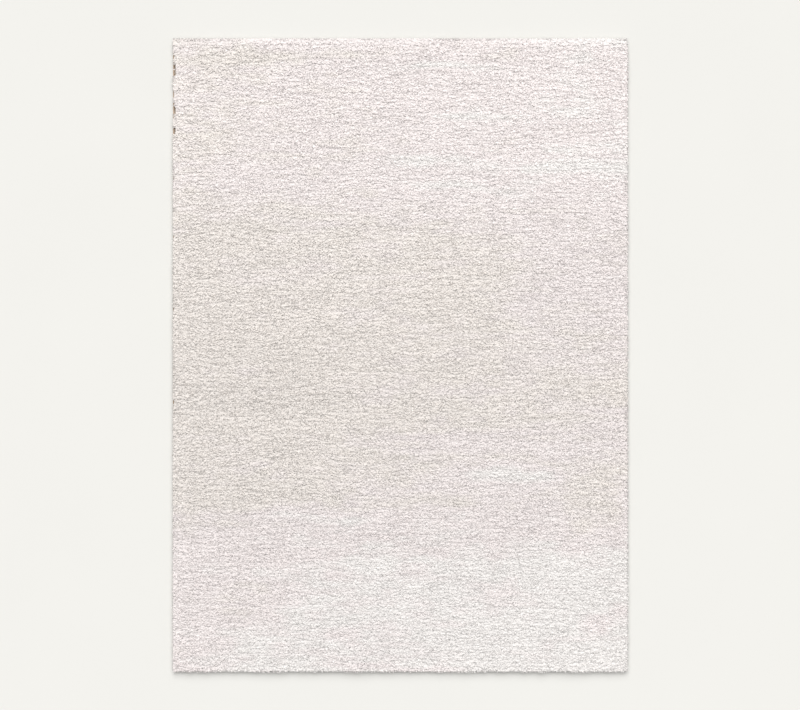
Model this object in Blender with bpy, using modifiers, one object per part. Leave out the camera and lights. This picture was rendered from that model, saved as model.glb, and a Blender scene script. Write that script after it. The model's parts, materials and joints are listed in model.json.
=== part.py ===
"""Cream shag rug lying flat: one pile cloth, and an overcast yarn edge along each long side.

Metres, +Z up. X runs across the rug, Y along it, and the origin is under the middle of the rug,
on the surface that it lies on. The pile is a lumpy slab on a flat ground, and at its rim it falls
outwards over the ground's edge as separate tapered locks.
"""
import math
import random
from collections import namedtuple

import bmesh
import bpy
from mathutils import Vector, noise

# Driving dimensions
RUG_WIDTH = 2.04           # over all, at the two long sides
RUG_LENGTH = 2.84          # over the locks at the two short ends
PILE_TOP = 0.030           # mean height of the pile above the floor
LOCK_REACH = 0.020         # how far the locks fall past the ground's right side and its two ends
LOCK_ROOT_LOW = 0.0095     # underside of the locks where they leave the ground's edge
SHOULDER_DROP = 0.006      # how much lower the pile is at the edge of the ground
SHOULDER_WIDTH = 0.055     # strip over which it drops
CORNER_CUT = 0.008         # the ground's corners are cut this much

EDGE_WIDTH = 0.0085        # overcast yarn edge, flattened by the floor
EDGE_HEIGHT = 0.0060
EDGE_ROUNDING = 0.0018
EDGE_END_GAP = 0.030       # it stops this far from the ground's ends
SEAT_GAP = 0.0003          # between neighbouring pieces

# The pile leans to the right, so on the left its locks reach only over the overcast edge
LEFT_REACH = EDGE_WIDTH + SEAT_GAP
GROUND_WIDTH = RUG_WIDTH - LEFT_REACH - LOCK_REACH
GROUND_LENGTH = RUG_LENGTH - 2 * LOCK_REACH
GROUND_MIDDLE_X = (LEFT_REACH - LOCK_REACH) / 2

# The pile's top is a net of cells with one lock on each cell of its rim
CELLS_ACROSS = 48
CELLS_ALONG = 68
CELL_SIZE = GROUND_WIDTH / CELLS_ACROSS
RIM_UNEVENNESS = 0.22      # of a cell, how much the locks' roots vary in width
NET_UNEVENNESS = 0.20      # of a cell, sideways scatter of the clumps on top

# Clumps of pile: each row is one size of lump
Lump = namedtuple("Lump", "across along rise")
LUMPS = (
    Lump(across=0.340, along=0.170, rise=0.0026),
    Lump(across=0.150, along=0.085, rise=0.0042),
)
CLUMP_SCATTER = 0.0028     # height scatter from one clump to the next

# Partings where the pile lies away to both sides and leaves a shallow trough.
# middle_x and middle_y are the trough's centre, span is its run across the rug.
Parting = namedtuple("Parting", "middle_x middle_y span width depth")
PARTINGS = (
    Parting(middle_x=-0.68, middle_y=1.34, span=0.68, width=0.05, depth=0.0030),
    Parting(middle_x=0.55, middle_y=0.97, span=0.90, width=0.05, depth=0.0028),
    Parting(middle_x=0.30, middle_y=0.79, span=0.48, width=0.04, depth=0.0025),
    Parting(middle_x=-0.50, middle_y=0.55, span=0.80, width=0.05, depth=0.0030),
    Parting(middle_x=-0.56, middle_y=-0.23, span=0.90, width=0.09, depth=0.0035),
    Parting(middle_x=-0.30, middle_y=-0.48, span=0.82, width=0.05, depth=0.0028),
    Parting(middle_x=-0.60, middle_y=-0.65, span=0.80, width=0.05, depth=0.0025),
)

# Places on the left side where the locks part and the overcast edge shows between them
Nick = namedtuple("Nick", "middle_y half_length")
LEFT_NICKS = (
    Nick(middle_y=1.275, half_length=0.022),
    Nick(middle_y=1.095, half_length=0.018),
    Nick(middle_y=1.005, half_length=0.016),
)

# Locks at the rim
LOCK_TIP_WIDTH = 0.58      # of the root
LOCK_TIP_HEIGHT = 0.38
LOCK_SHORTEST = 0.82       # of the longest
NICK_LOCK = 0.20           # length of a lock beside a nick, of the longest
LOCK_DROOP = 0.0035        # the tip's middle is this much lower than the root's
LOCK_LEAN = 0.005          # sideways scatter of the tips
PILE_LEAN = 0.003          # the pile lies towards the rug's lower end
CORNER_LOCK_REACH = 0.030  # diagonal locks at the corners, which widen to fill them
CORNER_LOCK_SPREAD = 1.40  # width of their tip, of the root

SEED = 27


def clear_scene():
    for obj in list(bpy.data.objects):
        bpy.data.objects.remove(obj, do_unlink=True)


def make_collection(name):
    collection = bpy.data.collections.new(name)
    bpy.context.scene.collection.children.link(collection)
    return collection


def make_material(name, color, roughness):
    material = bpy.data.materials.new(name)
    material.use_nodes = True
    shader = material.node_tree.nodes["Principled BSDF"]
    shader.inputs["Base Color"].default_value = (*color, 1.0)
    shader.inputs["Roughness"].default_value = roughness
    shader.inputs["Metallic"].default_value = 0.0
    return material


def smooth_step(value):
    value = min(max(value, 0.0), 1.0)
    return value * value * (3.0 - 2.0 * value)


def parting_depth(x, y):
    """Depth of the shallow troughs at a point, each with soft ends and sides."""
    depth = 0.0
    for row in PARTINGS:
        wander = 0.02 * noise.noise(Vector((x / 0.25, row.middle_y, 7.0)))
        side = abs(y - row.middle_y - wander) / row.width
        end = abs(x - row.middle_x) / (row.span / 2)
        depth += row.depth * smooth_step(1.0 - side) * smooth_step(2.0 * (1.0 - end))
    return depth


def rim_inset(x, y):
    """Distance from a point to the nearest side or end of the ground."""
    return min(GROUND_WIDTH / 2 - abs(x), GROUND_LENGTH / 2 - abs(y))


def shoulder_drop(x, y):
    """The pile rounds down towards the edge of the ground."""
    return SHOULDER_DROP * (1.0 - smooth_step(rim_inset(x, y) / SHOULDER_WIDTH))


def pile_height(x, y):
    height = PILE_TOP
    for layer, lump in enumerate(LUMPS):
        height += lump.rise * noise.noise(Vector((x / lump.across, y / lump.along, layer * 5.0)))
    return height - parting_depth(x, y) - shoulder_drop(x, y)


def scatter_net(bm, rng):
    """Moves the net's points sideways, so that no row of clumps is straight.

    Points on the rim only slide along it, which keeps the ground's sides straight.
    """
    half_width = GROUND_WIDTH / 2
    half_length = GROUND_LENGTH / 2
    tolerance = CELL_SIZE / 10
    for vert in bm.verts:
        on_side = abs(abs(vert.co.x) - half_width) < tolerance
        on_end = abs(abs(vert.co.y) - half_length) < tolerance
        if on_side and on_end:
            continue
        if on_side or on_end:
            step = rng.uniform(-RIM_UNEVENNESS, RIM_UNEVENNESS) * CELL_SIZE
            vert.co += Vector((0.0, step, 0.0)) if on_side else Vector((step, 0.0, 0.0))
        else:
            vert.co.x += rng.uniform(-NET_UNEVENNESS, NET_UNEVENNESS) * CELL_SIZE
            vert.co.y += rng.uniform(-NET_UNEVENNESS, NET_UNEVENNESS) * CELL_SIZE


def cut_corners(bm):
    half_width = GROUND_WIDTH / 2
    half_length = GROUND_LENGTH / 2
    tolerance = CELL_SIZE / 10
    corners = [
        vert for vert in bm.verts
        if abs(vert.co.x) > half_width - tolerance and abs(vert.co.y) > half_length - tolerance
    ]
    bmesh.ops.bevel(bm, geom=corners, offset=CORNER_CUT, segments=1, affect="VERTICES")


def drop_wall(bm, edges, height):
    """Extrudes a closed rim of edges and sets the new rim's height. Returns its faces and rim."""
    result = bmesh.ops.extrude_edge_only(bm, edges=edges)["geom"]
    faces = [item for item in result if isinstance(item, bmesh.types.BMFace)]
    rim = [item for item in result if isinstance(item, bmesh.types.BMEdge)]
    verts = [item for item in result if isinstance(item, bmesh.types.BMVert)]
    new_verts = set(verts)
    rim = [edge for edge in rim if all(vert in new_verts for vert in edge.verts)]
    for vert in verts:
        vert.co.z = height
    return faces, rim


def at_corner(root):
    return rim_inset(root.x, root.y) > CORNER_CUT / 4


def lock_length(root, outward, rng):
    """Length of the lock that leaves the rim at root."""
    if at_corner(root):
        return CORNER_LOCK_REACH
    on_left = outward.x < -0.5
    reach = LEFT_REACH if on_left else LOCK_REACH
    length = reach * rng.uniform(LOCK_SHORTEST, 1.0)
    for nick in LEFT_NICKS:
        if on_left and abs(root.y - nick.middle_y) < nick.half_length:
            length = reach * NICK_LOCK
    return length


def draw_locks(bm, roots, rng):
    """Pulls every wall face out into a tapered four-sided lock that droops over the edge."""
    tips = bmesh.ops.extrude_discrete_faces(bm, faces=roots)["faces"]
    left = -GROUND_WIDTH / 2 - LEFT_REACH
    right = GROUND_WIDTH / 2 + LOCK_REACH
    for tip in tips:
        root = tip.calc_center_median()
        outward = Vector((tip.normal.x, tip.normal.y, 0.0)).normalized()
        if outward.dot(root) < 0:
            outward.negate()
        along = Vector((-outward.y, outward.x, 0.0))
        length = lock_length(root, outward, rng)
        lean = along * rng.uniform(-LOCK_LEAN, LOCK_LEAN)
        lean -= along * along.y * PILE_LEAN
        spread = CORNER_LOCK_SPREAD if at_corner(root) else LOCK_TIP_WIDTH
        for vert in tip.verts:
            offset = vert.co - root
            width = along * offset.dot(along) * spread
            rise = Vector((0.0, 0.0, offset.z * LOCK_TIP_HEIGHT - LOCK_DROOP))
            vert.co = root + width + rise + outward * length + lean
            vert.co.x = min(max(vert.co.x, left), right)
            vert.co.y = min(max(vert.co.y, -RUG_LENGTH / 2), RUG_LENGTH / 2)


def make_pile_cloth(collection, material):
    rng = random.Random(SEED)
    bm = bmesh.new()
    bmesh.ops.create_grid(bm, x_segments=CELLS_ACROSS, y_segments=CELLS_ALONG, size=0.5)
    bmesh.ops.scale(bm, vec=(GROUND_WIDTH, GROUND_LENGTH, 1.0), verts=bm.verts)
    scatter_net(bm, rng)
    cut_corners(bm)
    for vert in bm.verts:
        vert.co.z = pile_height(vert.co.x, vert.co.y) + rng.uniform(-CLUMP_SCATTER, CLUMP_SCATTER)

    shoulder = [edge for edge in bm.edges if edge.is_boundary]
    lock_roots, lock_rim = drop_wall(bm, shoulder, LOCK_ROOT_LOW)
    ground_rim = drop_wall(bm, lock_rim, 0.0)[1]
    bmesh.ops.triangle_fill(bm, edges=ground_rim, use_beauty=True)
    bmesh.ops.recalc_face_normals(bm, faces=bm.faces)
    draw_locks(bm, lock_roots, rng)
    bmesh.ops.recalc_face_normals(bm, faces=bm.faces)

    mesh = bpy.data.meshes.new("pile_cloth")
    bm.to_mesh(mesh)
    bm.free()
    mesh.shade_smooth()
    mesh.set_sharp_from_angle(angle=math.radians(50))
    mesh.materials.append(material)
    pile = bpy.data.objects.new("pile_cloth", mesh)
    pile.location.x = GROUND_MIDDLE_X
    collection.objects.link(pile)
    return pile


def make_overcast_edge(side_name, side, collection, material):
    """A flattened roll of yarn along one long side, under the locks."""
    bm = bmesh.new()
    bmesh.ops.create_cube(bm, size=1.0)
    length = GROUND_LENGTH - 2 * EDGE_END_GAP
    bmesh.ops.scale(bm, vec=(EDGE_WIDTH, length, EDGE_HEIGHT), verts=bm.verts)
    name = "overcast_edge_" + side_name
    mesh = bpy.data.meshes.new(name)
    bm.to_mesh(mesh)
    bm.free()
    mesh.materials.append(material)
    edge = bpy.data.objects.new(name, mesh)
    from_middle = GROUND_WIDTH / 2 + SEAT_GAP + EDGE_WIDTH / 2
    edge.location = (GROUND_MIDDLE_X + side * from_middle, 0.0, EDGE_HEIGHT / 2)
    collection.objects.link(edge)
    rounding = edge.modifiers.new("rounding", "BEVEL")
    rounding.width = EDGE_ROUNDING
    rounding.segments = 2
    rounding.limit_method = "ANGLE"
    return edge


def main():
    clear_scene()
    rug = make_collection("shag_rug")
    cream_pile = make_material("cream_pile", (0.80, 0.75, 0.72), 0.95)
    tan_yarn = make_material("tan_yarn", (0.44, 0.33, 0.26), 0.90)
    make_pile_cloth(rug, cream_pile)
    make_overcast_edge("left", -1, rug, tan_yarn)
    make_overcast_edge("right", 1, rug, tan_yarn)


main()
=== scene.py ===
"""Cream shag rug lying flat: locks of cut pile on a woven ground, with overcast long sides."""
import json
import math
import random
from collections import namedtuple

import bmesh
import bpy
import numpy as np
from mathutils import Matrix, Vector
from mathutils.bvhtree import BVHTree

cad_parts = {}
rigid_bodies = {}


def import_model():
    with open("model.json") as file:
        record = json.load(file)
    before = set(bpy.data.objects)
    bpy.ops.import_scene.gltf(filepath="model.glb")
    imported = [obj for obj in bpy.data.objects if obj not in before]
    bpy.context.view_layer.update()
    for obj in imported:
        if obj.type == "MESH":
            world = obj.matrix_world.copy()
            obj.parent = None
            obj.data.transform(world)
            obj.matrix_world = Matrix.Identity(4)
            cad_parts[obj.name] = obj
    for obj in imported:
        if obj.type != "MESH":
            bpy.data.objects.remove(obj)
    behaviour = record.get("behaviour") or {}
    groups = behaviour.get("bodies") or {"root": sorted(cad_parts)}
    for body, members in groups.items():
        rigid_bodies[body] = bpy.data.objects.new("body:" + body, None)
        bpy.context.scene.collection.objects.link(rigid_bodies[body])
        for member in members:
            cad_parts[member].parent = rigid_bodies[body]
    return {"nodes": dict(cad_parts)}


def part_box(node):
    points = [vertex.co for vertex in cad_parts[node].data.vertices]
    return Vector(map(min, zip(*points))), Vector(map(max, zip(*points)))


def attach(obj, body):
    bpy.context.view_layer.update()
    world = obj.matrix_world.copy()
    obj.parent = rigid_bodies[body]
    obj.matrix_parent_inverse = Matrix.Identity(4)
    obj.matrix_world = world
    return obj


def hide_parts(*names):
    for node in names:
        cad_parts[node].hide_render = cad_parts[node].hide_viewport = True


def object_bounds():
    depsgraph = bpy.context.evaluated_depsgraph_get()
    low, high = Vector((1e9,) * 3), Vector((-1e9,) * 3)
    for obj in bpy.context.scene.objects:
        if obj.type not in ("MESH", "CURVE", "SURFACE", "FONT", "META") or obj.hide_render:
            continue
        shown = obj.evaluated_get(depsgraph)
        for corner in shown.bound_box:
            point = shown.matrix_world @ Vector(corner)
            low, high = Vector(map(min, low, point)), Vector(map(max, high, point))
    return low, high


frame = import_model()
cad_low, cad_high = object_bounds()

SEED = 27

# ---------------------------------------------------------------- sizes, in metres
SEAT_GAP = 0.0003          # between neighbouring pieces
RUG_LEFT = cad_low.x
RUG_RIGHT = cad_high.x
RUG_HALF_LENGTH = cad_high.y
END_OVERHANG = 0.020       # the pile falls this far past the ground at its right side and its ends
GROUND_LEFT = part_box("overcast_edge_left")[1].x + SEAT_GAP
GROUND_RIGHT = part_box("overcast_edge_right")[0].x - SEAT_GAP
GROUND_HALF_LENGTH = RUG_HALF_LENGTH - END_OVERHANG
GROUND_THICKNESS = 0.003
HEM_LENGTH = 0.030         # turned under at each short end
HEM_GAP = 0.00012          # between the hem and the cloth above it
FOLD_ROUNDING = 0.0006
HEM_RECESS = 0.004         # the cloth steps up this far past the hem's raw edge
WELD_DISTANCE = 0.0001     # points nearer than this are one

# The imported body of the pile, too dense to see into, below the tips. It bulges over the ground's
# edges, through these rings from its top to its foot on the ground.
BODY_CELL = 0.0125
BODY_BELOW_TOP = 0.005
# the body's colour takes the painted root shade of this point along a strand
BODY_PAINTED_SHADE = 0.25          # it is shaded as this share of the way from root to tip
BODY_TOP_INSET = 0.0035    # from the rug's outline
BODY_FOLD = math.radians(40)  # its shading breaks where it turns more sharply than this
BodyRing = namedtuple("BodyRing", "inset height")
BODY_RINGS = (
    BodyRing(inset=0.0022, height=0.0215),
    BodyRing(inset=0.0040, height=0.0095),
)
BODY_FOOT_INSET = 0.004    # from the ground's edge
EVENING_CELL = 0.019       # the solid's top is read this far apart, and evened out
EVENING_PASSES = 6         # each evens it out over about one cell
NOISE_MARGIN = 2           # cells of noise round the rug, for points a little past its outline

# Strands: rings from root to tip, as shares of the strand's length and width. Smallest and largest
# are the range of their scale.
Ring = namedtuple("Ring", "along width")
Strand = namedtuple("Strand", "length width rings smallest largest")
STRAND_SIDES = 3
TUFT = Strand(
    length=0.0110, width=0.0066, smallest=0.75, largest=1.20,
    rings=(Ring(along=0.55, width=1.00),))
LOCK = Strand(
    length=0.020, width=0.0066, smallest=0.90, largest=1.06,
    rings=(Ring(along=0.25, width=0.95), Ring(along=0.80, width=0.75)))
STRAND_VARIANTS = 9
STRAND_BEND = (0.05, 0.32)  # least and most that a tip leans over, as a share of the strand's length
STRAND_SWING = 0.14        # share of its length that the middle swings to either side
STRAND_TWIST = 1.2         # radians to either side, from root to tip
RING_UNEVENNESS = 0.15     # share of a ring's width
TURN_SCATTER = math.radians(70)  # each strand is turned round itself by up to this much

# The field of tufts, in rows across the rug
ROW_PITCH = 0.0060
TUFT_PITCH = 0.0074
ROOT_SCATTER = 0.48        # of a pitch
TUFT_INSET = 0.0015        # from the rug's outline
TUFT_INSET_RIGHT = 0.0045  # where the tufts lean outwards
TUFT_CORNER = 0.012        # the field's corners are cut where the two insets add up to this
TUFT_SINK = 0.0080         # roots below the pile's top
FIELD_STRIPS = 5

# Lie of the pile: how far it leans across the rug for each 1 that it rises
LAY_ACROSS = 1.1
LAY_SCATTER = 0.30         # to either side, for each tuft
RISE_SCATTER = 0.3         # share of that scatter in how far a strand rises
RIM_TURN = 0.005           # strip at the rim where the tufts turn outwards
RIM_LAY = 0.30             # how far they lean there
RIM_DROP = 0.0018          # and where the pile's top rounds off by this much

# Ridges: tufts stand higher along the crests of a noise, and lean towards them. In these tables
# across and along are the size of the noise's lumps.
Ridge = namedtuple("Ridge", "across along pull lift seed")
RIDGES = (
    Ridge(across=0.008, along=0.0085, pull=0.60, lift=0.0012, seed=3),
    Ridge(across=0.045, along=0.0090, pull=0.80, lift=0.0020, seed=4),
)
SLOPE_STEP = 0.002         # a ridge's slope is taken over this far
# Creases: long wavy lines across the rug where the pile parts and sinks, with the shade of that
# dip painted into the strands' colour. They follow the zero line of a noise. Width is in units of
# that noise, painted shade a share of full brightness.
Crease = namedtuple("Crease", "across along width sink shade seed")
CREASES = (
    Crease(across=0.070, along=0.0110, width=0.16, sink=0.0022, shade=0.28, seed=7),
    Crease(across=0.035, along=0.0090, width=0.12, sink=0.0022, shade=0.28, seed=8),
)
# The lie turns to either side by up to these angles
Wander = namedtuple("Wander", "across along turn seed")
WANDERS = (
    Wander(across=0.040, along=0.020, turn=math.radians(24), seed=5),
    Wander(across=0.300, along=0.200, turn=math.radians(8), seed=6),
)

# Locks at the rim, in tiers from the floor up, rooted in the body and hanging over its edge.
# Insets are from the rug's outline, and side is the lean along the rim.
LOCK_PITCH = 0.0062
LOCK_LAY_SCATTER = 0.14
LOCK_FAN = 0.75            # lean along the rim at a corner, where the locks fan out
LOCK_ROOT_SCATTER = 0.0012  # up or down
Tier = namedtuple("Tier", "root_inset root_height tip_inset tip_height side")
OUTER_TIERS = (
    Tier(root_inset=0.0150, root_height=0.0095, tip_inset=0.0030, tip_height=0.0030, side=0.3),
    Tier(root_inset=0.0150, root_height=0.0130, tip_inset=0.0012, tip_height=0.0095, side=0.4),
    Tier(root_inset=0.0150, root_height=0.0150, tip_inset=0.0006, tip_height=0.0160, side=0.5),
    Tier(root_inset=0.0150, root_height=0.0165, tip_inset=0.0006, tip_height=0.0235, side=0.5),
)
LEFT_TIERS = (
    Tier(root_inset=0.0130, root_height=0.0110, tip_inset=0.0022, tip_height=0.0085, side=0.3),
    Tier(root_inset=0.0140, root_height=0.0140, tip_inset=0.0010, tip_height=0.0150, side=0.4),
    Tier(root_inset=0.0150, root_height=0.0165, tip_inset=0.0010, tip_height=0.0230, side=0.5),
)
# Where the pile parts on the left side and the overcast edge shows
Nick = namedtuple("Nick", "middle_y half_length depth")
LEFT_NICKS = (
    Nick(middle_y=1.336, half_length=0.008, depth=0.006),
    Nick(middle_y=1.292, half_length=0.010, depth=0.012),
    Nick(middle_y=1.266, half_length=0.011, depth=0.013),
    Nick(middle_y=1.168, half_length=0.014, depth=0.005),
    Nick(middle_y=1.123, half_length=0.007, depth=0.006),
    Nick(middle_y=1.096, half_length=0.014, depth=0.013),
    Nick(middle_y=1.067, half_length=0.005, depth=0.006),
    Nick(middle_y=1.004, half_length=0.014, depth=0.012),
    Nick(middle_y=0.785, half_length=0.006, depth=0.006),
    Nick(middle_y=0.529, half_length=0.006, depth=0.006),
    Nick(middle_y=0.202, half_length=0.006, depth=0.006),
    Nick(middle_y=-0.211, half_length=0.006, depth=0.006),
)
NICK_MOUTH = 1.3           # a nick is this much longer in the body than in the locks

# Overcast edge: one yarn wound round each long side
EDGE_YARN_RADIUS = 0.0019
EDGE_TURN_PITCH = 0.0062
EDGE_STEPS_A_TURN = 8
EDGE_YARN_SIDES = 3
EDGE_CORE = 0.72           # of the roll's width and height

# ---------------------------------------------------------------- tone and tint of the pile
# Bands along the rug: tone is a share of full brightness, and is painted light and shade of how
# the pile lies; tint runs 0 cream, 0.5 pink, 1 cool white
Band = namedtuple("Band", "middle_y tone tint")
BANDS = (
    Band(middle_y=-1.42, tone=0.985, tint=0.94),
    Band(middle_y=-1.30, tone=0.970, tint=0.93),
    Band(middle_y=-0.92, tone=0.958, tint=0.84),
    Band(middle_y=-0.74, tone=0.926, tint=0.47),
    Band(middle_y=-0.60, tone=0.924, tint=0.20),
    Band(middle_y=-0.40, tone=0.920, tint=0.08),
    Band(middle_y=-0.20, tone=0.915, tint=0.00),
    Band(middle_y=0.35, tone=0.944, tint=0.03),
    Band(middle_y=0.60, tone=0.965, tint=0.20),
    Band(middle_y=0.78, tone=0.997, tint=0.55),
    Band(middle_y=1.20, tone=1.023, tint=0.45),
    Band(middle_y=1.36, tone=0.985, tint=0.40),
    Band(middle_y=1.42, tone=1.025, tint=0.60),
)
# Streaks and areas where the pile lies a little differently, with the light and shade of that lie
# painted into their tone. Each is span wide and depth deep, fades out towards its sides and ends,
# and adds its tone and tint.
Streak = namedtuple("Streak", "middle_x middle_y span depth tone tint")
STREAKS = (
    # cool white
    Streak(middle_x=0.30, middle_y=1.29, span=0.70, depth=0.060, tone=0.010, tint=0.40),
    Streak(middle_x=0.34, middle_y=1.06, span=0.60, depth=0.065, tone=0.005, tint=0.35),
    Streak(middle_x=0.42, middle_y=0.85, span=1.35, depth=0.105, tone=0.015, tint=0.40),
    Streak(middle_x=0.29, middle_y=0.74, span=0.60, depth=0.055, tone=0.015, tint=0.35),
    Streak(middle_x=-0.11, middle_y=0.47, span=0.34, depth=0.110, tone=0.010, tint=0.30),
    Streak(middle_x=0.46, middle_y=-0.54, span=0.75, depth=0.120, tone=0.030, tint=0.65),
    Streak(middle_x=-0.38, middle_y=-0.73, span=0.80, depth=0.100, tone=0.020, tint=0.50),
    # pink white
    Streak(middle_x=0.80, middle_y=0.30, span=0.80, depth=1.000, tone=0.000, tint=0.25),
    Streak(middle_x=0.31, middle_y=-0.40, span=1.40, depth=0.150, tone=0.005, tint=0.25),
    Streak(middle_x=-0.78, middle_y=-1.12, span=0.65, depth=0.600, tone=-0.005, tint=-0.25),
    Streak(middle_x=0.92, middle_y=-1.19, span=0.30, depth=0.200, tone=-0.005, tint=-0.35),
    # cream
    Streak(middle_x=-0.60, middle_y=1.34, span=1.00, depth=0.090, tone=-0.025, tint=-0.35),
    Streak(middle_x=0.56, middle_y=0.97, span=0.95, depth=0.060, tone=-0.020, tint=-0.15),
    Streak(middle_x=0.30, middle_y=0.79, span=0.50, depth=0.050, tone=-0.020, tint=-0.15),
    Streak(middle_x=-0.50, middle_y=0.55, span=0.90, depth=0.080, tone=-0.020, tint=-0.20),
    Streak(middle_x=-0.56, middle_y=-0.23, span=0.95, depth=0.120, tone=-0.020, tint=0.00),
    Streak(middle_x=-0.60, middle_y=-0.63, span=0.95, depth=0.110, tone=-0.015, tint=-0.20),
    Streak(middle_x=0.16, middle_y=-0.66, span=0.50, depth=0.120, tone=-0.020, tint=-0.35),
    Streak(middle_x=0.86, middle_y=-0.73, span=0.36, depth=0.480, tone=-0.010, tint=-0.45),
)
STREAK_END = 0.5           # share of the half span over which an end fades
STREAK_WANDER = 0.025      # the streaks wander by up to this much
STREAK_WANDER_SIZE = 0.25  # in bends of about this size
SIDE_TONE = 0.022          # the right side is this much brighter than the middle
SIDE_TINT = 0.20           # and this much further from cream
# Patches: noise of these sizes that takes tone and tint up and down by as much as this
Patch = namedtuple("Patch", "across along tone tint seed")
PATCHES = (
    Patch(across=0.220, along=0.014, tone=0.012, tint=0.10, seed=11),
    Patch(across=0.080, along=0.030, tone=0.004, tint=0.20, seed=12),
    Patch(across=0.300, along=0.090, tone=0.006, tint=0.18, seed=13),
)
CREAM = "#F1EAE4"
PINK_WHITE = "#F1E9E7"
PINK_TINTS = (0.42, 0.64)  # the pile is pink white between these tints
COOL_WHITE = "#EFEBE8"
# painted shade deep in the pile: the strands' colour darkens towards the root
ROOT_PAINTED_SHADE_TONE = 0.68           # share of the tip's brightness

# ---------------------------------------------------------------- camera and page
IMAGE_WIDTH_PX = 800
RUG_WIDTH_PX = 455         # the rug's width in the photo
LENS_MM = 85.0
SENSOR_MM = 36.0
FLOOR_SIZE = 14.0
FLOOR_GAP = 0.0004         # the floor lies this far below the rug


def linear(hex_colour):
    """sRGB hex to a linear colour with alpha."""
    channels = [int(hex_colour[i:i + 2], 16) / 255 for i in (1, 3, 5)]
    return [c / 12.92 if c <= 0.04045 else ((c + 0.055) / 1.055) ** 2.4 for c in channels] + [1.0]


def add_node(tree, kind, inputs=None, **settings):
    """Adds one node. inputs maps a socket's name or number to a value, or to the output feeding it.

    Numbers are used where sockets share a name, as in Mix: 0 is the factor, 2 and 3 are the numbers
    and 6 and 7 the colours that it mixes.
    """
    node = tree.nodes.new(kind)
    for name, value in settings.items():
        setattr(node, name, value)
    for socket, value in (inputs or {}).items():
        if isinstance(value, bpy.types.NodeSocket):
            tree.links.new(value, node.inputs[socket])
        else:
            node.inputs[socket].default_value = value
    return node


def put_in_scene(name, data):
    thing = bpy.data.objects.new(name, data)
    bpy.context.scene.collection.objects.link(thing)
    return thing


def make_piece(name, bm, material):
    """Puts what was modelled into the scene, as one mesh object."""
    mesh = bpy.data.meshes.new(name)
    bm.to_mesh(mesh)
    bm.free()
    mesh.materials.append(material)
    return put_in_scene(name, mesh)


# ---------------------------------------------------------------- fields over the rug
def smooth_step(value):
    value = np.clip(value, 0.0, 1.0)
    return value * value * (3.0 - 2.0 * value)


def blend(grid, row, column, s, t):
    """The value between four points of a grid, s of the way across and t of the way up."""
    low = grid[row, column] * (1 - s) + grid[row, column + 1] * s
    high = grid[row + 1, column] * (1 - s) + grid[row + 1, column + 1] * s
    return low * (1 - t) + high * t


def soft_noise(x, y, across, along, seed):
    """Smooth noise from -1 to 1 with lumps of about across by along metres."""
    columns = int((RUG_RIGHT - RUG_LEFT) / across) + 2 * NOISE_MARGIN + 2
    rows = int(2 * RUG_HALF_LENGTH / along) + 2 * NOISE_MARGIN + 2
    lattice = np.random.default_rng(seed).uniform(-1.0, 1.0, (rows, columns))
    u = (x - RUG_LEFT) / across + NOISE_MARGIN
    v = (y + RUG_HALF_LENGTH) / along + NOISE_MARGIN
    column = np.floor(u).astype(int)
    row = np.floor(v).astype(int)
    return blend(lattice, row, column, smooth_step(u - column), smooth_step(v - row))


def ripple(x, y, across, along, seed):
    """Noise whose crests run across the rug, about 2 along apart."""
    return (soft_noise(x, y, across, along, seed) - soft_noise(x, y - along, across, along, seed)) / 2


def tone_and_tint(x, y):
    """How bright the pile is at each point, and how far its colour is from cream to cool white."""
    # the tone holds painted light and shade of how the pile lies, and random patches
    middles = [band.middle_y for band in BANDS]
    tone = np.interp(y, middles, [band.tone for band in BANDS])
    tint = np.interp(y, middles, [band.tint for band in BANDS])
    tone = tone * (1 + SIDE_TONE * x / RUG_RIGHT)
    tint = tint + SIDE_TINT * x / RUG_RIGHT
    wander = STREAK_WANDER * soft_noise(x, y, STREAK_WANDER_SIZE, STREAK_WANDER_SIZE, SEED)
    for row in STREAKS:
        side = 1.0 - np.abs(y - row.middle_y - wander) / (row.depth / 2)
        end = (1.0 - np.abs(x - row.middle_x) / (row.span / 2)) / STREAK_END
        share = smooth_step(side) * smooth_step(end)
        tone += row.tone * share
        tint += row.tint * share
    for row in PATCHES:
        noise = soft_noise(x, y, row.across, row.along, row.seed)
        tone += row.tone * noise
        tint += row.tint * noise
    return tone, np.clip(tint, 0.0, 1.0)


def crease_share(x, y, row):
    """1 in the middle of a crease and 0 outside it."""
    noise = soft_noise(x, y, row.across, row.along, row.seed)
    return np.clip(1.0 - np.abs(noise) / row.width, 0.0, 1.0)


def nick_depth(y, spread):
    """How deep the left side is nicked at each point, with each nick's length times spread."""
    depths = [
        nick.depth * (np.abs(y - nick.middle_y) < nick.half_length * spread) for nick in LEFT_NICKS]
    return np.max(depths, axis=0)


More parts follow.
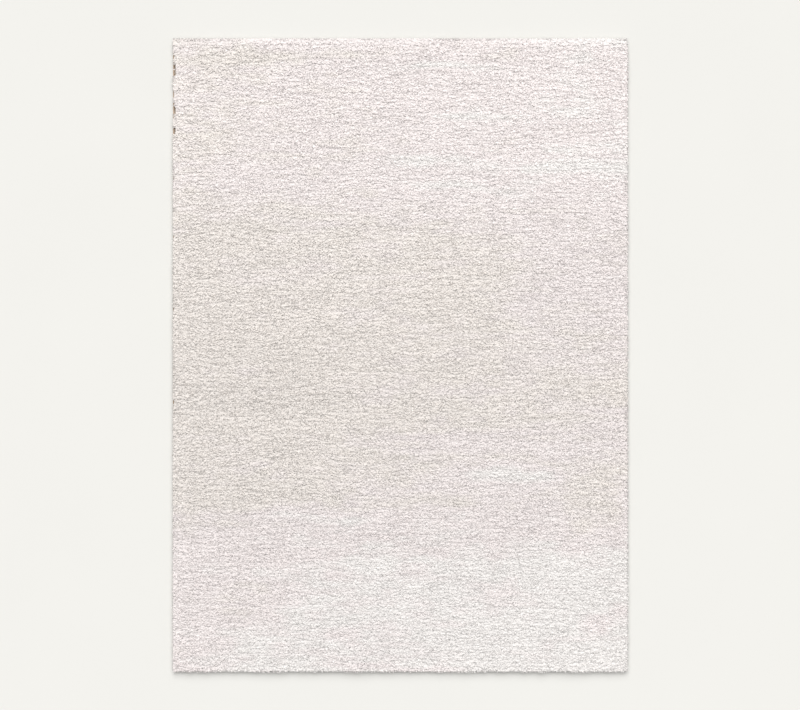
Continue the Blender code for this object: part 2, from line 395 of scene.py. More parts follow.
def pile_top_reader():
    """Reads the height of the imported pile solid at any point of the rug, evened out over a few clumps."""
    mesh = frame["nodes"]["pile_cloth"].data
    points = [vert.co.copy() for vert in mesh.vertices]
    solid = BVHTree.FromPolygons(points, [tuple(face.vertices) for face in mesh.polygons])
    down = Vector((0.0, 0.0, -1.0))
    inside = EVENING_CELL / 4
    left = GROUND_LEFT + inside
    right = GROUND_RIGHT - inside
    end = GROUND_HALF_LENGTH - inside
    columns = np.linspace(left, right, round((right - left) / EVENING_CELL) + 1)
    rows = np.linspace(-end, end, round(2 * end / EVENING_CELL) + 1)
    heights = np.array([[solid.ray_cast(Vector((x, y, 1.0)), down)[0].z for x in columns] for y in rows])
    for _ in range(EVENING_PASSES):  # a third of each point, and a sixth of each of the four beside it
        wide = np.pad(heights, 1, mode="edge")
        beside = wide[1:-1, :-2] + wide[1:-1, 2:] + wide[:-2, 1:-1] + wide[2:, 1:-1]
        heights = heights / 3 + beside / 6
    last = 1.001  # from the count of points, so that the last place is still inside the last cell

    def read(x, y):
        u = np.clip((np.asarray(x) - left) / (columns[1] - columns[0]), 0, len(columns) - last)
        v = np.clip((np.asarray(y) + end) / (rows[1] - rows[0]), 0, len(rows) - last)
        column = u.astype(int)
        row = v.astype(int)
        return blend(heights, row, column, u - column, v - row)
    return read


# ---------------------------------------------------------------- strands
def make_strand(name, rng, strand, collection):
    """One tapered strand standing at the origin, bent and twisted a little.

    Its points hold how far along it they are, from 0 at the root to 1 at the tip.
    """
    bend = rng.uniform(*STRAND_BEND) * strand.length
    swing = rng.uniform(-STRAND_SWING, STRAND_SWING) * strand.length
    twist = rng.uniform(-STRAND_TWIST, STRAND_TWIST)
    bm = bmesh.new()
    along_layer = bm.verts.layers.float.new("along")

    def add_point(along, offset):
        middle = Vector((bend * along ** 2, swing * math.sin(math.pi * along), strand.length * along))
        point = bm.verts.new(middle + offset)
        point[along_layer] = along
        return point

    loops = []
    for ring in strand.rings:
        loop = []
        for side in range(STRAND_SIDES):
            turn = 2 * math.pi * side / STRAND_SIDES + twist * ring.along
            uneven = rng.uniform(1 - RING_UNEVENNESS, 1 + RING_UNEVENNESS)
            radius = strand.width / 2 * ring.width * uneven
            loop.append(add_point(ring.along, Vector((math.cos(turn), math.sin(turn), 0.0)) * radius))
        loops.append(loop)
    root = add_point(0.0, Vector())
    tip = add_point(1.0, Vector())
    for side in range(STRAND_SIDES):
        after = (side + 1) % STRAND_SIDES
        bm.faces.new((loops[0][after], loops[0][side], root))
        for low, high in zip(loops, loops[1:]):
            bm.faces.new((low[side], low[after], high[after], high[side]))
        bm.faces.new((loops[-1][side], loops[-1][after], tip))
    mesh = bpy.data.meshes.new(name)
    bm.to_mesh(mesh)
    bm.free()
    mesh.shade_smooth()
    collection.objects.link(bpy.data.objects.new(name, mesh))


def make_strands(name, strand):
    """A collection of the strand's variants, outside the scene."""
    rng = random.Random(SEED)
    collection = bpy.data.collections.new(name)
    for index in range(STRAND_VARIANTS):
        make_strand(f"{name}_{index}", rng, strand, collection)
    return collection


def clear_strands(collection):
    for strand in list(collection.objects):
        bpy.data.objects.remove(strand, do_unlink=True)
    bpy.data.collections.remove(collection)


# ---------------------------------------------------------------- Geometry Nodes
def new_tree(name, inputs):
    """An empty tree with named inputs. Returns it and its inputs' outlets."""
    tree = bpy.data.node_groups.new(name, "GeometryNodeTree")
    for label, kind in inputs:
        tree.interface.new_socket(label, in_out="INPUT", socket_type="NodeSocket" + kind)
    tree.interface.new_socket("Result", in_out="OUTPUT", socket_type="NodeSocketGeometry")
    return tree, add_node(tree, "NodeGroupInput").outputs


def finish_tree(tree, geometry, material):
    """Ends a tree with the instances made real and their material set."""
    real = add_node(tree, "GeometryNodeRealizeInstances", {0: geometry})
    dressed = add_node(tree, "GeometryNodeSetMaterial", {"Geometry": real.outputs[0], "Material": material})
    add_node(tree, "NodeGroupOutput", {0: dressed.outputs[0]})


def planting_tree():
    """Sets one of the strands on every root, grown along the root's direction."""
    tree, given = new_tree("pile_planting", (
        ("Roots", "Geometry"), ("Strands", "Collection"), ("Last Strand", "Int"), ("Smallest", "Float"),
        ("Largest", "Float"), ("Lay Scatter", "Float"), ("Turn Scatter", "Float"), ("Seed", "Int"),
        ("Yarn", "Material")))
    grow = add_node(tree, "GeometryNodeInputNamedAttribute", {"Name": "grow"}, data_type="FLOAT_VECTOR")
    size = add_node(tree, "GeometryNodeInputNamedAttribute", {"Name": "size"}, data_type="FLOAT")
    scatter = add_node(
        tree, "FunctionNodeRandomValue",
        {0: (-1.0, -1.0, -RISE_SCATTER), 1: (1.0, 1.0, RISE_SCATTER), "Seed": given["Seed"]},
        data_type="FLOAT_VECTOR")
    scatter = add_node(
        tree, "ShaderNodeVectorMath", {0: scatter.outputs[0], "Scale": given["Lay Scatter"]},
        operation="SCALE")
    stem = add_node(tree, "ShaderNodeVectorMath", {0: grow.outputs[0], 1: scatter.outputs[0]})
    flat = add_node(
        tree, "ShaderNodeVectorMath", {0: stem.outputs[0], 1: (1.0, 1.0, 0.0)}, operation="MULTIPLY")
    stand = add_node(
        tree, "FunctionNodeAxesToRotation", {0: stem.outputs[0], 1: flat.outputs[0]},
        primary_axis="Z", secondary_axis="X")
    minus = add_node(tree, "ShaderNodeMath", {0: given["Turn Scatter"], 1: -1.0}, operation="MULTIPLY")
    turn = add_node(
        tree, "FunctionNodeRandomValue",
        {2: minus.outputs[0], 3: given["Turn Scatter"], "Seed": given["Seed"]}, data_type="FLOAT")
    turn = add_node(
        tree, "FunctionNodeAxisAngleToRotation", {"Axis": (0.0, 0.0, 1.0), "Angle": turn.outputs[1]})
    stand = add_node(
        tree, "FunctionNodeRotateRotation", {0: stand.outputs[0], 1: turn.outputs[0]},
        rotation_space="LOCAL")
    scale = add_node(
        tree, "FunctionNodeRandomValue",
        {2: given["Smallest"], 3: given["Largest"], "Seed": given["Seed"]}, data_type="FLOAT")
    scale = add_node(
        tree, "ShaderNodeMath", {0: scale.outputs[1], 1: size.outputs[0]}, operation="MULTIPLY")
    which = add_node(
        tree, "FunctionNodeRandomValue",
        {4: 0, 5: given["Last Strand"], "Seed": given["Seed"]}, data_type="INT")
    strands = add_node(
        tree, "GeometryNodeCollectionInfo",
        {"Collection": given["Strands"], "Separate Children": True, "Reset Children": True})
    planted = add_node(
        tree, "GeometryNodeInstanceOnPoints",
        {"Points": given["Roots"], "Instance": strands.outputs[0], "Pick Instance": True,
         "Instance Index": which.outputs[2], "Rotation": stand.outputs[0], "Scale": scale.outputs[0]})
    finish_tree(tree, planted.outputs[0], given["Yarn"])
    return tree


def overcasting_tree():
    """Winds one yarn round a core along +Z, in a flattened helix, and lays it along +Y."""
    tree, given = new_tree("overcasting", (
        ("Edge Length", "Float"), ("Roll Width", "Float"), ("Roll Height", "Float"),
        ("Yarn Radius", "Float"), ("Turns", "Float"), ("Steps A Turn", "Int"), ("Yarn Sides", "Int"),
        ("Core", "Float"), ("Middle", "Vector"), ("Yarn", "Material")))

    def half_less(total, less):
        half = add_node(tree, "ShaderNodeMath", {0: total, 1: 0.5}, operation="MULTIPLY")
        rest = add_node(tree, "ShaderNodeMath", {0: half.outputs[0], 1: less}, operation="SUBTRACT")
        return rest.outputs[0]

    run = add_node(
        tree, "ShaderNodeMath", {0: given["Yarn Radius"], 1: -2.0, 2: given["Edge Length"]},
        operation="MULTIPLY_ADD")
    helix = add_node(
        tree, "GeometryNodeCurveSpiral",
        {"Resolution": given["Steps A Turn"], "Rotations": given["Turns"], "Start Radius": 1.0,
         "End Radius": 1.0, "Height": run.outputs[0]})
    across = add_node(
        tree, "ShaderNodeCombineXYZ",
        {0: half_less(given["Roll Width"], given["Yarn Radius"]),
         1: half_less(given["Roll Height"], given["Yarn Radius"]), 2: 1.0})
    flattened = add_node(
        tree, "GeometryNodeTransform", {"Geometry": helix.outputs[0], "Scale": across.outputs[0]})
    section = add_node(
        tree, "GeometryNodeCurvePrimitiveCircle",
        {"Resolution": given["Yarn Sides"], "Radius": given["Yarn Radius"]})
    yarn = add_node(
        tree, "GeometryNodeCurveToMesh",
        {"Curve": flattened.outputs[0], "Profile Curve": section.outputs[0], "Fill Caps": True})
    start = add_node(tree, "ShaderNodeMath", {0: run.outputs[0], 1: -0.5}, operation="MULTIPLY")
    start = add_node(tree, "ShaderNodeCombineXYZ", {2: start.outputs[0]})
    yarn = add_node(
        tree, "GeometryNodeTransform", {"Geometry": yarn.outputs[0], "Translation": start.outputs[0]})
    core = add_node(
        tree, "GeometryNodeMeshCylinder",
        {"Vertices": given["Steps A Turn"], "Radius": 0.5, "Depth": run.outputs[0]}, fill_type="NGON")
    width, height = [
        add_node(tree, "ShaderNodeMath", {0: given[size], 1: given["Core"]}, operation="MULTIPLY")
        for size in ("Roll Width", "Roll Height")]
    size = add_node(tree, "ShaderNodeCombineXYZ", {0: width.outputs[0], 1: height.outputs[0], 2: 1.0})
    core = add_node(
        tree, "GeometryNodeTransform", {"Geometry": core.outputs[0], "Scale": size.outputs[0]})
    roll = add_node(tree, "GeometryNodeJoinGeometry")
    tree.links.new(core.outputs[0], roll.inputs[0])
    tree.links.new(yarn.outputs[0], roll.inputs[0])
    laid = add_node(
        tree, "GeometryNodeTransform",
        {"Geometry": roll.outputs[0], "Rotation": (-math.pi / 2, 0.0, 0.0), "Translation": given["Middle"]})
    finish_tree(tree, laid.outputs[0], given["Yarn"])
    return tree


def set_inputs(modifier, values):
    """Sets a Geometry Nodes modifier's inputs, found by name and set by identifier."""
    for item in modifier.node_group.interface.items_tree:
        if item.in_out == "INPUT" and item.name in values:
            modifier[item.identifier] = values[item.name]


def settle_piece(name, base, tree, values):
    """Runs a tree on a base mesh and returns the result as a plain mesh object."""
    carrier = put_in_scene(name + "_carrier", base)
    modifier = carrier.modifiers.new("tree", "NODES")
    modifier.node_group = tree
    set_inputs(modifier, values)
    depsgraph = bpy.context.evaluated_depsgraph_get()
    mesh = bpy.data.meshes.new_from_object(carrier.evaluated_get(depsgraph), depsgraph=depsgraph)
    mesh.name = name
    bpy.data.objects.remove(carrier, do_unlink=True)
    return put_in_scene(name, mesh)


# ---------------------------------------------------------------- pile
def set_attribute(mesh, name, values):
    """Stores one number, or one vector, for each point of a mesh."""
    vector = values.ndim == 2
    layer = mesh.attributes.new(name, "FLOAT_VECTOR" if vector else "FLOAT", "POINT")
    layer.data.foreach_set("vector" if vector else "value", values.ravel())


def plant(name, roots, grow, size, strands, strand, scatter, yarn, tree, seed):
    """Grows one strand on each root, in the direction grow, and at its own size."""
    base = bpy.data.meshes.new(name + "_roots")
    base.vertices.add(len(roots))
    base.vertices.foreach_set("co", roots.ravel())
    tone, tint = tone_and_tint(roots[:, 0], roots[:, 1])
    # painted shade along the creases, taken off the strands' tone
    for row in CREASES:
        tone -= row.shade * crease_share(roots[:, 0], roots[:, 1], row)
    set_attribute(base, "grow", grow)
    set_attribute(base, "size", size)
    set_attribute(base, "tone", tone)
    set_attribute(base, "tint", tint)
    piece = settle_piece(name, base, tree, {
        "Strands": strands,
        "Last Strand": STRAND_VARIANTS - 1,
        "Smallest": strand.smallest,
        "Largest": strand.largest,
        "Lay Scatter": scatter,
        "Turn Scatter": TURN_SCATTER,
        "Seed": seed,
        "Yarn": yarn,
    })
    for spent in ("grow", "size"):
        piece.data.attributes.remove(piece.data.attributes[spent])
    return piece


def tuft_roots(pile_top):
    """Root points of all tufts, in jittered rows across the rug."""
    rng = np.random.default_rng(SEED)
    left = RUG_LEFT + TUFT_INSET
    right = RUG_RIGHT - TUFT_INSET_RIGHT
    end = RUG_HALF_LENGTH - TUFT_INSET
    rows = int(2 * end / ROW_PITCH)
    tufts = int((right - left) / TUFT_PITCH)
    x, y = np.meshgrid(np.linspace(left, right, tufts), np.linspace(-end, end, rows))
    x[1::2] += TUFT_PITCH / 2
    x += rng.uniform(-ROOT_SCATTER, ROOT_SCATTER, x.shape) * TUFT_PITCH
    y += rng.uniform(-ROOT_SCATTER, ROOT_SCATTER, y.shape) * ROW_PITCH
    x = np.clip(x, left, right).ravel()
    y = np.clip(y, -end, end).ravel()
    from_side = np.minimum(x - RUG_LEFT, RUG_RIGHT - x)
    from_end = RUG_HALF_LENGTH - np.abs(y)
    keep = from_side + from_end > TUFT_CORNER
    keep &= x - RUG_LEFT >= nick_depth(y, 1.0)
    rounding = np.clip(1.0 - np.minimum(from_side, from_end) / RIM_TURN, 0.0, 1.0)
    z = pile_top(x, y) - TUFT_SINK - RIM_DROP * rounding ** 2
    return np.stack([x, y, z], axis=1)[keep]


def comb_pile(roots):
    """Growing direction of the tuft at each root, and how much the ridges and creases lift it."""
    x, y = roots[:, 0], roots[:, 1]
    angle = np.zeros_like(x)
    for row in WANDERS:
        angle += row.turn * soft_noise(x, y, row.across, row.along, row.seed)
    lay_x = LAY_ACROSS * np.cos(angle)
    lay_y = LAY_ACROSS * np.sin(angle)
    lift = np.zeros_like(x)
    for row in RIDGES:
        here = ripple(x, y, row.across, row.along, row.seed)
        ahead = ripple(x, y + SLOPE_STEP, row.across, row.along, row.seed)
        slope = (ahead - here) / SLOPE_STEP
        lay_y += row.pull * slope * row.along
        lift += row.lift * here
    for row in CREASES:
        lift -= row.sink * crease_share(x, y, row)
    left_turn = smooth_step(1.0 - (x - RUG_LEFT) / RIM_TURN)
    right_turn = smooth_step(1.0 - (RUG_RIGHT - x) / RIM_TURN)
    end_turn = smooth_step(1.0 - (RUG_HALF_LENGTH - np.abs(y)) / RIM_TURN)
    inner = (1.0 - left_turn) * (1.0 - right_turn) * (1.0 - end_turn)
    lay_x = lay_x * inner + RIM_LAY * (right_turn - left_turn)
    lay_y = lay_y * inner + RIM_LAY * end_turn * np.sign(y)
    lift *= inner
    return np.stack([lay_x, lay_y, np.ones_like(x)], axis=1), lift


def make_field(yarn, tree, pile_top):
    """The tufts, in strips along the rug."""
    strands = make_strands("tufts", TUFT)
    roots = tuft_roots(pile_top)
    grow, lift = comb_pile(roots)
    roots[:, 2] += lift
    strip = ((roots[:, 1] / GROUND_HALF_LENGTH + 1) / 2 * FIELD_STRIPS).astype(int)
    pieces = []
    for index in range(FIELD_STRIPS):
        here = strip == index
        pieces.append(plant(
            f"pile_field_{index + 1}", roots[here], grow[here], np.ones(here.sum()), strands, TUFT,
            LAY_SCATTER, yarn, tree, SEED + index))
    clear_strands(strands)
    return pieces


def rim_side(tier, start, end, outward, rng):
    """Roots along one side of the rug and the tips they grow to, fanned out at the corners."""
    ahead = (end - start).normalized()
    run = (end - start).length - 2 * tier.root_inset
    reach = tier.root_inset - tier.tip_inset
    count = int(run / LOCK_PITCH)
    roots = []
    tips = []
    for step in range(count + 1):
        place = tier.root_inset + run * step / count
        from_corner = min(place, run + 2 * tier.root_inset - place) - tier.root_inset
        fan = smooth_step(1.0 - from_corner / tier.root_inset) * (1 if step > count / 2 else -1)
        root = start + ahead * place - outward * tier.root_inset
        if outward.x < 0 and nick_depth(root.y, 1.0) > 0:
            continue
        lean = rng.uniform(-1.0, 1.0) * tier.side * (1.0 - abs(fan)) + fan * LOCK_FAN
        tip = root + (outward + ahead * lean) * reach
        height = tier.root_height + rng.uniform(-LOCK_ROOT_SCATTER, LOCK_ROOT_SCATTER)
        roots.append((root.x, root.y, height))
        tips.append((tip.x, tip.y, tier.tip_height))
    return roots, tips


def make_rim(yarn, tree):
    """Locks that hang over the ground's edge."""
    strands = make_strands("locks", LOCK)
    rng = random.Random(SEED)
    left_low, left_high, right_low, right_high = [
        Vector((x, y, 0.0)) for x in (RUG_LEFT, RUG_RIGHT) for y in (-RUG_HALF_LENGTH, RUG_HALF_LENGTH)]
    sides = (
        (OUTER_TIERS, left_low, right_low, Vector((0, -1, 0))),
        (OUTER_TIERS, right_low, right_high, Vector((1, 0, 0))),
        (OUTER_TIERS, left_high, right_high, Vector((0, 1, 0))),
        (LEFT_TIERS, left_low, left_high, Vector((-1, 0, 0))),
    )
    roots = []
    tips = []
    for tiers, start, end, outward in sides:
        for tier in tiers:
            side_roots, side_tips = rim_side(tier, start, end, outward, rng)
            roots += side_roots
            tips += side_tips
    roots = np.array(roots)
    grow = np.array(tips) - roots
    size = np.linalg.norm(grow, axis=1)
    grow /= size[:, None]
    piece = plant(
        "pile_rim", roots, grow, size / LOCK.length, strands, LOCK, LOCK_LAY_SCATTER, yarn, tree, SEED)
    clear_strands(strands)
    return piece


def extrude_loop(bm, edges):
    """Extrudes a loop of edges in place. Returns the new loop's points and edges."""
    wall = bmesh.ops.extrude_edge_only(bm, edges=edges)["geom"]
    points = {item for item in wall if isinstance(item, bmesh.types.BMVert)}
    sides = [item for item in wall if isinstance(item, bmesh.types.BMEdge)]
    return points, [side for side in sides if points.issuperset(side.verts)]


def make_body(yarn, pile_top):
    """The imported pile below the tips, as one closed lumpy form that bulges over the ground's edges."""
    middle_x = (RUG_LEFT + RUG_RIGHT) / 2
    half_width = (RUG_RIGHT - RUG_LEFT) / 2

    def to_ring(verts, old_inset, inset):
        """Moves an outline's points to another inset."""
        across = (half_width - inset) / (half_width - old_inset)
        along = (RUG_HALF_LENGTH - inset) / (RUG_HALF_LENGTH - old_inset)
        for vert in verts:
            vert.co.x = middle_x + (vert.co.x - middle_x) * across
            vert.co.y *= along

    bm = bmesh.new()
    width = 2 * (half_width - BODY_TOP_INSET)
    length = 2 * (RUG_HALF_LENGTH - BODY_TOP_INSET)
    bmesh.ops.create_grid(
        bm, x_segments=round(width / BODY_CELL), y_segments=round(length / BODY_CELL), size=0.5)
    for vert in bm.verts:
        vert.co.x = middle_x + vert.co.x * width
        vert.co.y *= length
    heights = pile_top([vert.co.x for vert in bm.verts], [vert.co.y for vert in bm.verts])
    for vert, height in zip(bm.verts, heights):
        vert.co.z = height - BODY_BELOW_TOP
    left_side = middle_x - half_width + BODY_TOP_INSET + SEAT_GAP
    for vert in bm.verts:
        if vert.co.x < left_side:
            vert.co.x += nick_depth(vert.co.y, NICK_MOUTH)

    loop = [edge for edge in bm.edges if edge.is_boundary]
    inset = BODY_TOP_INSET
    for ring in BODY_RINGS:
        points, loop = extrude_loop(bm, loop)
        to_ring(points, inset, ring.inset)
        inset = ring.inset
        for vert in points:
            vert.co.z = ring.height
    foot, loop = extrude_loop(bm, loop)
    end = GROUND_HALF_LENGTH - BODY_FOOT_INSET
    for vert in foot:
        vert.co.x = min(max(vert.co.x, GROUND_LEFT + BODY_FOOT_INSET), GROUND_RIGHT - BODY_FOOT_INSET)
        vert.co.y = min(max(vert.co.y, -end), end)
        vert.co.z = GROUND_THICKNESS + SEAT_GAP
    bmesh.ops.triangle_fill(bm, edges=loop, use_beauty=True)
    bmesh.ops.remove_doubles(bm, verts=bm.verts, dist=WELD_DISTANCE)
    bmesh.ops.recalc_face_normals(bm, faces=bm.faces)
    body = make_piece("pile_body", bm, yarn)
    mesh = body.data
    mesh.shade_smooth()
    mesh.set_sharp_from_angle(angle=BODY_FOLD)
    places = np.array([vert.co for vert in mesh.vertices])
    tone, tint = tone_and_tint(places[:, 0], places[:, 1])
    set_attribute(mesh, "tone", tone)
    set_attribute(mesh, "tint", tint)
    set_attribute(mesh, "along", np.full(len(places), BODY_PAINTED_SHADE))
    return body


# ---------------------------------------------------------------- ground and its edges
def ground_section():
    """Half of the ground's section from its middle to one end, where the hem is folded under."""
    end = GROUND_HALF_LENGTH
    top = GROUND_THICKNESS
    middle = top / 2
    return (
        (end - FOLD_ROUNDING, top),
        (end, top - FOLD_ROUNDING),
        (end, FOLD_ROUNDING),
        (end - FOLD_ROUNDING, 0.0),
        (end - HEM_LENGTH, 0.0),
        (end - HEM_LENGTH, middle - HEM_GAP / 2),
        (end - top, middle - HEM_GAP / 2),
        (end - top, middle + HEM_GAP / 2),
        (end - HEM_LENGTH - HEM_RECESS, middle + HEM_GAP / 2),
        (end - HEM_LENGTH - HEM_RECESS, 0.0),
    )


def make_ground(material):
    """The woven ground, one sheet with a hem turned under at each short end."""
    half = ground_section()
    outline = [(y, z) for y, z in half] + [(-y, z) for y, z in reversed(half)]
    bm = bmesh.new()
    section = bm.faces.new([bm.verts.new((GROUND_LEFT, y, z)) for y, z in outline])
    swept = bmesh.ops.extrude_face_region(bm, geom=[section])["geom"]
    far = [item for item in swept if isinstance(item, bmesh.types.BMVert)]
    bmesh.ops.translate(bm, vec=(GROUND_RIGHT - GROUND_LEFT, 0.0, 0.0), verts=far)
    bmesh.ops.triangulate(bm, faces=[face for face in bm.faces if len(face.verts) > 4])
    bmesh.ops.recalc_face_normals(bm, faces=bm.faces)
    return make_piece("ground_cloth", bm, material)


def make_overcast_edge(side, yarn, tree):
    """The wound yarn of one long side, in the place of its solid."""
    low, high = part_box("overcast_edge_" + side)
    length = high.y - low.y
    middle = (low + high) / 2
    return settle_piece("overcast_yarn_" + side, bpy.data.meshes.new("edge_base"), tree, {
        "Edge Length": length,
        "Roll Width": high.x - low.x,
        "Roll Height": high.z - low.z,
        "Yarn Radius": EDGE_YARN_RADIUS,
        "Turns": length / EDGE_TURN_PITCH,
        "Steps A Turn": EDGE_STEPS_A_TURN,
        "Yarn Sides": EDGE_YARN_SIDES,
        "Core": EDGE_CORE,
        "Middle": middle,
        "Yarn": yarn,
    })


# ---------------------------------------------------------------- materials
def new_material(name, roughness, specular, sheen=0.0):
    """A material with its shader set for a matt surface. Returns it, its tree and its shader."""
    material = bpy.data.materials.new(name)
    material.use_nodes = True
    shader = material.node_tree.nodes["Principled BSDF"]
    shader.inputs["Roughness"].default_value = roughness
    shader.inputs["Specular IOR Level"].default_value = specular
    shader.inputs["Sheen Weight"].default_value = sheen
    return material, material.node_tree, shader


def wire_shader(tree, shader, colour, bump):
    tree.links.new(colour, shader.inputs["Base Color"])
    tree.links.new(bump.outputs[0], shader.inputs["Normal"])


# Heads of yarn packed side by side: about 4 mm across, and drawn coarser so that they show
HEAD_SIZE = 0.0085
HEAD_RELIEF = 0.0076
TIP_RELIEF_SHARE = 0.30    # of that relief, on the tips
FIBRE_SIZE = 0.0012        # bundles of fibres in a cut end
FIBRE_RELIEF = 0.0004
# Painted shade between the strands, in soft round specks
STRAND_SIZE = 0.0045
GAP_SHARE = 0.40           # of the strands, in shade between their neighbours
PAINTED_GAP_SHADE = 0.80           # share of brightness lost there
COOL_GAP_SHARE = 0.55      # of that shade, where the pile is cool white and lies closer
GAP_MIDDLE = 0.20          # shares of a strand's size: full shade up to here
GAP_RIM = 0.70             # and none from here


def cut_pile_yarn():
    """Polyester yarn, heat set and cut: matt cream with a soft sheen on the tips.

    Its colour darkens from tip to root in painted shade, its packed heads make the relief below
    the tips, and painted shade in the gaps between its strands shows as soft grey specks.
    """
    material, tree, shader = new_material("cut_pile_yarn", roughness=0.85, specular=0.25, sheen=0.15)
    along, tone, tint = [
        add_node(tree, "ShaderNodeAttribute", attribute_name=name).outputs["Fac"]
        for name in ("along", "tone", "tint")]
    where = add_node(tree, "ShaderNodeTexCoord").outputs["Object"]
    ramp = add_node(tree, "ShaderNodeValToRGB", {0: tint})
    stops = ramp.color_ramp.elements
    stops[0].color = linear(CREAM)
    stops[1].color = linear(COOL_WHITE)
    for pink_tint in PINK_TINTS:
        stops.new(pink_tint).color = linear(PINK_WHITE)
    # painted shade: the colour darkens from tip to root
    depth = add_node(tree, "ShaderNodeMapRange", {"Value": along, "To Min": ROOT_PAINTED_SHADE_TONE})
    # painted shade in the gaps between strands: some cells darken, most in their middles
    strands = add_node(tree, "ShaderNodeTexVoronoi", {"Vector": where, "Scale": 1 / STRAND_SIZE})
    chance = add_node(tree, "ShaderNodeSeparateColor", {0: strands.outputs["Color"]})
    most = add_node(
        tree, "ShaderNodeMapRange",
        {"Value": tint, "To Min": PAINTED_GAP_SHADE, "To Max": PAINTED_GAP_SHADE * COOL_GAP_SHARE})
    chosen = add_node(
        tree, "ShaderNodeMapRange",
        {"Value": chance.outputs[0], "From Min": 1.0 - GAP_SHARE, "To Max": most.outputs[0]})
    painted_gap_shade = add_node(
        tree, "ShaderNodeMapRange",
        {"Value": strands.outputs["Distance"], "From Min": GAP_MIDDLE, "From Max": GAP_RIM,
         "To Min": chosen.outputs[0], "To Max": 0.0})
    # brightness left after the painted shade of the gaps
    painted_gap_lit = add_node(tree, "ShaderNodeMath", {0: 1.0, 1: painted_gap_shade.outputs[0]}, operation="SUBTRACT")
    level_with_painted_shade = add_node(tree, "ShaderNodeMath", {0: depth.outputs[0], 1: tone}, operation="MULTIPLY")
    level_with_painted_shade = add_node(
        tree, "ShaderNodeMath", {0: level_with_painted_shade.outputs[0], 1: painted_gap_lit.outputs[0]}, operation="MULTIPLY")
    colour = add_node(
        tree, "ShaderNodeVectorMath", {0: ramp.outputs[0], "Scale": level_with_painted_shade.outputs[0]}, operation="SCALE")
    share = add_node(
        tree, "ShaderNodeMapRange",
        {"Value": along, "From Min": BODY_PAINTED_SHADE, "To Min": 1.0, "To Max": TIP_RELIEF_SHARE})
    heads = add_node(
        tree, "ShaderNodeTexNoise", {"Vector": where, "Scale": 1 / HEAD_SIZE, "Detail": 0.0})
    bump = add_node(
        tree, "ShaderNodeBump",
        {"Strength": share.outputs[0], "Distance": HEAD_RELIEF, "Height": heads.outputs[0]})
    fibres = add_node(
        tree, "ShaderNodeTexNoise", {"Vector": where, "Scale": 1 / FIBRE_SIZE, "Detail": 1.0})
    bump = add_node(
        tree, "ShaderNodeBump",
        {"Distance": FIBRE_RELIEF, "Height": fibres.outputs[0], "Normal": bump.outputs[0]})
    wire_shader(tree, shader, colour.outputs[0], bump)
    return material


BAND_LENGTH = math.pi / 10  # of the wave texture's bands at a scale of 1
GROUND_THREAD = 0.0028     # from one thread of the ground to the next
GROUND_RELIEF = 0.0007
THREAD_WANDER = 0.6        # how unevenly the threads run
# painted shade in the grooves between the threads
GROOVE_EDGE = 0.4          # share of a thread's height up to which it lies in shade
GROOVE_PAINTED_SHADE_TONE = 0.65         # brightness at the bottom of a groove
SLUB_SIZE = 4 * GROUND_THREAD  # thicker and thinner places in the yarn
SLUB_TONES = (0.85, 1.10)
WARP_COLOUR = "#D3C8BA"
WEFT_COLOUR = "#C3B39F"


def woven_ground():
    """Jute weft on a polyester warp, woven plain: threads that pass over and under each other.

    The warp is a little paler, and the grooves between the threads have painted shade.
    """
    material, tree, shader = new_material("woven_ground", roughness=0.9, specular=0.2)
    where = add_node(tree, "ShaderNodeTexCoord").outputs["Object"]
    warp, weft = [
        add_node(
            tree, "ShaderNodeTexWave",
            {"Vector": where, "Scale": BAND_LENGTH / GROUND_THREAD, "Distortion": THREAD_WANDER},
            bands_direction=way).outputs["Fac"]
        for way in ("X", "Y")]
    over = add_node(tree, "ShaderNodeTexChecker", {"Vector": where, "Scale": 1 / GROUND_THREAD})
    height = add_node(tree, "ShaderNodeMix", {0: over.outputs["Fac"], 2: warp, 3: weft})
    thread = add_node(
        tree, "ShaderNodeMix", {0: over.outputs["Fac"], 6: linear(WARP_COLOUR), 7: linear(WEFT_COLOUR)},
        data_type="RGBA")
    slubs = add_node(tree, "ShaderNodeTexNoise", {"Vector": where, "Scale": 1 / SLUB_SIZE})
    slubs = add_node(
        tree, "ShaderNodeMapRange",
        {"Value": slubs.outputs["Fac"], "To Min": SLUB_TONES[0], "To Max": SLUB_TONES[1]})
    # painted shade: the threads darken towards the bottom of the grooves
    painted_groove_shade = add_node(
        tree, "ShaderNodeMapRange",
        {"Value": height.outputs[0], "From Max": GROOVE_EDGE, "To Min": GROOVE_PAINTED_SHADE_TONE})
    level_with_painted_shade = add_node(
        tree, "ShaderNodeMath", {0: slubs.outputs[0], 1: painted_groove_shade.outputs[0]}, operation="MULTIPLY")
    colour = add_node(
        tree, "ShaderNodeVectorMath", {0: thread.outputs[2], "Scale": level_with_painted_shade.outputs[0]}, operation="SCALE")
    bump = add_node(tree, "ShaderNodeBump", {"Distance": GROUND_RELIEF, "Height": height.outputs[0]})
    wire_shader(tree, shader, colour.outputs[0], bump)
    return material


PLY_PITCH = 0.0021         # from one ply of the overcast yarn to the next
PLY_RELIEF = 0.0006
PLY_WANDER = 1.0           # how unevenly the plies run
FUZZ_SHARE = 0.35          # of the fibres in the yarn's shading, the rest is the plies
OVERCAST_LIGHT = "#C0AA96"
# colour of the painted shade where the plies meet
OVERCAST_PAINTED_SHADE = "#A08974"


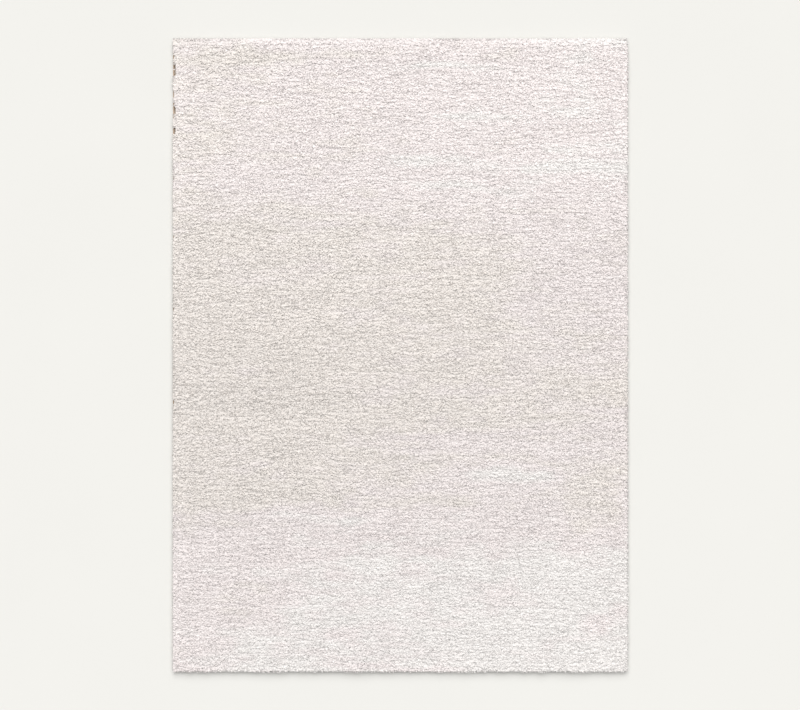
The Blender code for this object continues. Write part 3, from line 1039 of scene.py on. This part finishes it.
def overcast_yarn():
    """Two-ply polyester yarn in tan: its plies show as slanted ridges, with painted shade where they meet.
    """
    material, tree, shader = new_material("overcast_yarn", roughness=0.85, specular=0.25, sheen=0.1)
    where = add_node(tree, "ShaderNodeTexCoord").outputs["Object"]
    plies = add_node(
        tree, "ShaderNodeTexWave",
        {"Vector": where, "Scale": BAND_LENGTH / PLY_PITCH, "Distortion": PLY_WANDER},
        bands_direction="DIAGONAL")
    fibres = add_node(
        tree, "ShaderNodeTexNoise", {"Vector": where, "Scale": 1 / FIBRE_SIZE, "Detail": 1.0})
    # painted shade between the plies and among the fibres: the colour darkens where this is low
    shade = add_node(
        tree, "ShaderNodeMix", {0: FUZZ_SHARE, 2: plies.outputs["Fac"], 3: fibres.outputs["Fac"]})
    colour = add_node(
        tree, "ShaderNodeMix", {0: shade.outputs[0], 6: linear(OVERCAST_PAINTED_SHADE), 7: linear(OVERCAST_LIGHT)},
        data_type="RGBA")
    bump = add_node(tree, "ShaderNodeBump", {"Distance": PLY_RELIEF, "Height": shade.outputs[0]})
    wire_shader(tree, shader, colour.outputs[2], bump)
    return material


FLOOR_LIGHT = "#C8C7C3"
FLOOR_DARK = "#C6C5C1"
FLOOR_CLOUD = 0.6          # size of the paint's faint clouds
ROLLER_GRAIN = 0.004       # size of the stipple that the roller leaves
ROLLER_RELIEF = 0.0001


def painted_floor():
    """Matt floor paint put on with a roller: almost even, with faint clouds and a fine stipple."""
    material, tree, shader = new_material("painted_floor", roughness=0.9, specular=0.2)
    where = add_node(tree, "ShaderNodeTexCoord").outputs["Object"]
    clouds = add_node(tree, "ShaderNodeTexNoise", {"Vector": where, "Scale": 1 / FLOOR_CLOUD})
    colour = add_node(
        tree, "ShaderNodeMix", {0: clouds.outputs["Fac"], 6: linear(FLOOR_DARK), 7: linear(FLOOR_LIGHT)},
        data_type="RGBA")
    grain = add_node(tree, "ShaderNodeTexNoise", {"Vector": where, "Scale": 1 / ROLLER_GRAIN})
    bump = add_node(tree, "ShaderNodeBump", {"Distance": ROLLER_RELIEF, "Height": grain.outputs["Fac"]})
    wire_shader(tree, shader, colour.outputs[2], bump)
    return material


# ---------------------------------------------------------------- floor, light, camera
WORLD_STRENGTH = 0.32
# Broad soft lamps: elevation over the floor, azimuth from +Y towards +X, spread of the lamp's disc
Lamp = namedtuple("Lamp", "name strength elevation azimuth spread")
LAMPS = (
    Lamp(name="soft_key", strength=2.98, elevation=46, azimuth=0, spread=50),
    Lamp(name="soft_top", strength=1.80, elevation=90, azimuth=0, spread=80),
)


def make_floor():
    bm = bmesh.new()
    bmesh.ops.create_grid(bm, x_segments=1, y_segments=1, size=FLOOR_SIZE / 2)
    floor = make_piece("floor", bm, painted_floor())
    floor.location.z = -FLOOR_GAP


def make_light():
    """An even white room and the lamps."""
    world = bpy.data.worlds.new("studio")
    bpy.context.scene.world = world
    world.use_nodes = True
    background = world.node_tree.nodes["Background"]
    background.inputs["Color"].default_value = (1.0, 1.0, 1.0, 1.0)
    background.inputs["Strength"].default_value = WORLD_STRENGTH
    for row in LAMPS:
        light = bpy.data.lights.new(row.name, "SUN")
        light.angle = math.radians(row.spread)
        light.energy = row.strength
        lamp = put_in_scene(row.name, light)
        lamp.rotation_euler = (math.radians(row.elevation - 90), 0.0, math.radians(-row.azimuth))


def make_camera():
    """Straight above the rug's middle, as far off as makes it as wide as in the photo."""
    metres_across = (RUG_RIGHT - RUG_LEFT) * IMAGE_WIDTH_PX / RUG_WIDTH_PX
    lens = bpy.data.cameras.new("camera")
    lens.lens = LENS_MM
    lens.sensor_width = SENSOR_MM
    camera = put_in_scene("camera", lens)
    camera.location = (0.0, 0.0, metres_across * LENS_MM / SENSOR_MM + cad_high.z / 2)
    bpy.context.scene.camera = camera


bpy.context.scene.view_settings.view_transform = "Standard"
make_camera()
make_light()
make_floor()
pile_yarn = cut_pile_yarn()
planting = planting_tree()
pile_top = pile_top_reader()
pile = make_field(pile_yarn, planting, pile_top)
pile.append(make_rim(pile_yarn, planting))
pile.append(make_body(pile_yarn, pile_top))
ground = make_ground(woven_ground())
tan_yarn = overcast_yarn()
overcasting = overcasting_tree()
edges = {side: make_overcast_edge(side, tan_yarn, overcasting) for side in ("left", "right")}

for piece in pile:
    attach(piece, "root")
for side, piece in edges.items():
    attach(piece, "root")
    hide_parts("overcast_edge_" + side)
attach(ground, "root")
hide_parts("pile_cloth")
